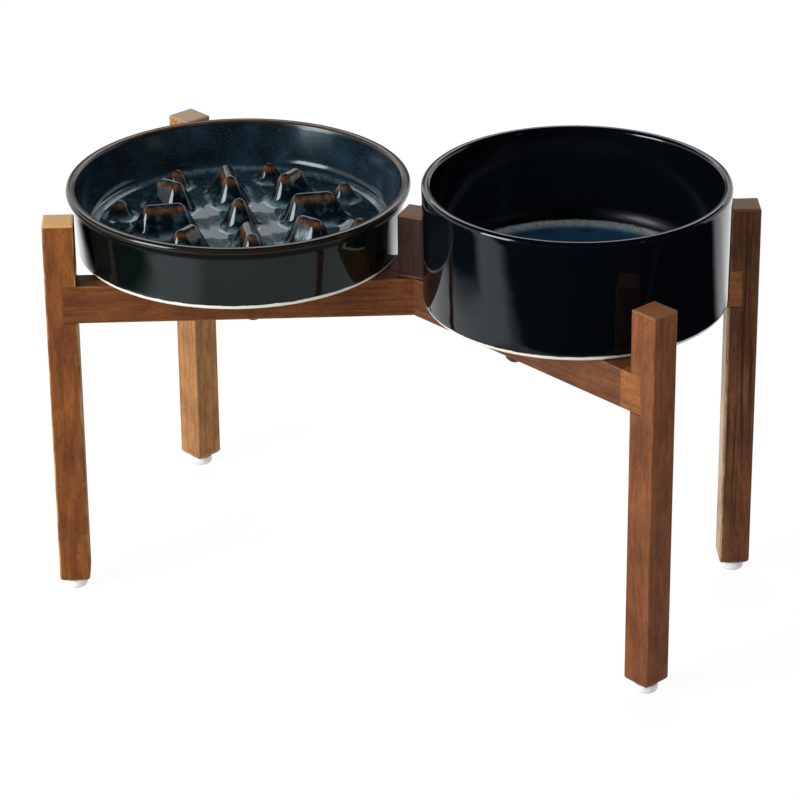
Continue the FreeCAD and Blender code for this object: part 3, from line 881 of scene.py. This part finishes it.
def navy_glaze():
    """Gloss near-black navy, bluer on the floor, with a pale speckled ring in the cove and a bare foot."""
    material, start = finish_of("navy_glaze")
    place = in_millimetres(start, seat("water_bowl"))
    x, y, height = place.split()
    radius = (x * x + y * y).math("SQRT")
    within = (radius - height * WATER_WALL_LEAN).smooth(*WATER_INSIDE)
    speckle = place.noise(1.3, 2.0, 0.7).smooth(0.46, 0.66)

    # Blue floor with clouds and specks
    low = height.smooth(*WATER_LOW) * within
    floor_blue = low * radius.smooth(*WATER_BLUE_REACH)
    blue = place.noise(0.06, 3.0).smooth(0.30, 0.70).blend(*FLOOR_BLUE)
    blue = (speckle * 0.12).blend(blue, FLOOR_SPECK)
    body = floor_blue.blend(NAVY_BLACK, blue)

    # Pale ring, and bare clay at the foot
    ring = radius.smooth(*PALE_RING_INNER) * (0.35 + speckle * 0.8) - radius.smooth(*PALE_RING_OUTER) * 1.2
    body = (low * ring).math("MAXIMUM", 0.0).math("MINIMUM", 1.0).blend(body, RING_PALE)
    clay = bare_foot(place, radius, height, water_ring, WATER_CLAY_LINE)
    body = clay.blend(body, bare_clay(place))
    roughness = clay * 0.6 + low * 0.2 + within * 0.08 + 0.05
    ripple = place.noise(0.045, 1.0).bump(0.25, 0.5 * MM)
    show(start, start.node("ShaderNodeBsdfPrincipled", None, {
        "Base Color": body, "Roughness": roughness, "Normal": ripple, "IOR": 1.50,
        "Specular Tint": rgb(0.88, 0.96, 1.0)}))
    return material


water_mesh.materials.append(navy_glaze())
print("water bowl glazed")

# %% [markdown]
# The small parts are bought in: white moulded glides with a nail, dowels, black rubber bumpers, a black bolt
# with its washer and a brass insert. Plain as they are, none is one flat colour: each wavers a little between
# two tones, with fine relief to match.


# %% Finishes of the small parts
def small_part(name, colour, other, scale, roughness, metallic=0.0, relief=0.1):
    """Finish that wavers between two colours at a scale in 1 / mm, with a matching roughness and relief."""
    material, start = finish_of(name)
    place = in_millimetres(start, (0.0, 0.0, 0.0))
    mottle = place.noise(scale, 3.0)
    fine = place.noise(scale * 6, 2.0)
    show(start, start.node("ShaderNodeBsdfPrincipled", None, {
        "Base Color": mottle.smooth(0.3, 0.7).blend(colour, other), "Metallic": metallic,
        "Roughness": roughness + (fine - 0.5) * 0.2, "Normal": fine.bump(relief, 0.05 * MM)}))
    return material


corner_finishes = {
    "_glide": small_part("white_plastic", rgb(0.80, 0.80, 0.79), rgb(0.86, 0.86, 0.85), 0.25, 0.38),
    "_bumper": small_part("black_rubber", rgb(0.010, 0.010, 0.010), rgb(0.022, 0.022, 0.022), 0.4, 0.55,
                          relief=0.25),
    "_dowel": small_part("dowel_wood", rgb(0.46, 0.31, 0.17), rgb(0.58, 0.42, 0.25), 0.3, 0.6),
    "_glide_nail": small_part("nail_steel", rgb(0.50, 0.50, 0.50), rgb(0.62, 0.62, 0.62), 0.8, 0.32, 1.0),
}
black_steel = small_part("black_steel", rgb(0.020, 0.020, 0.021), rgb(0.040, 0.040, 0.042), 0.9, 0.42,
                         relief=0.15)
brass = small_part("brass", rgb(0.62, 0.44, 0.16), rgb(0.74, 0.56, 0.25), 0.6, 0.3, 1.0)
small_finishes = {"post_bolt": black_steel, "post_washer": black_steel, "post_insert": brass}
for suffix, finish in corner_finishes.items():
    small_finishes.update({corner + suffix: finish for corner in CORNERS})
for node, finish in small_finishes.items():
    dress(node, finish)
print("small parts", len(small_finishes))
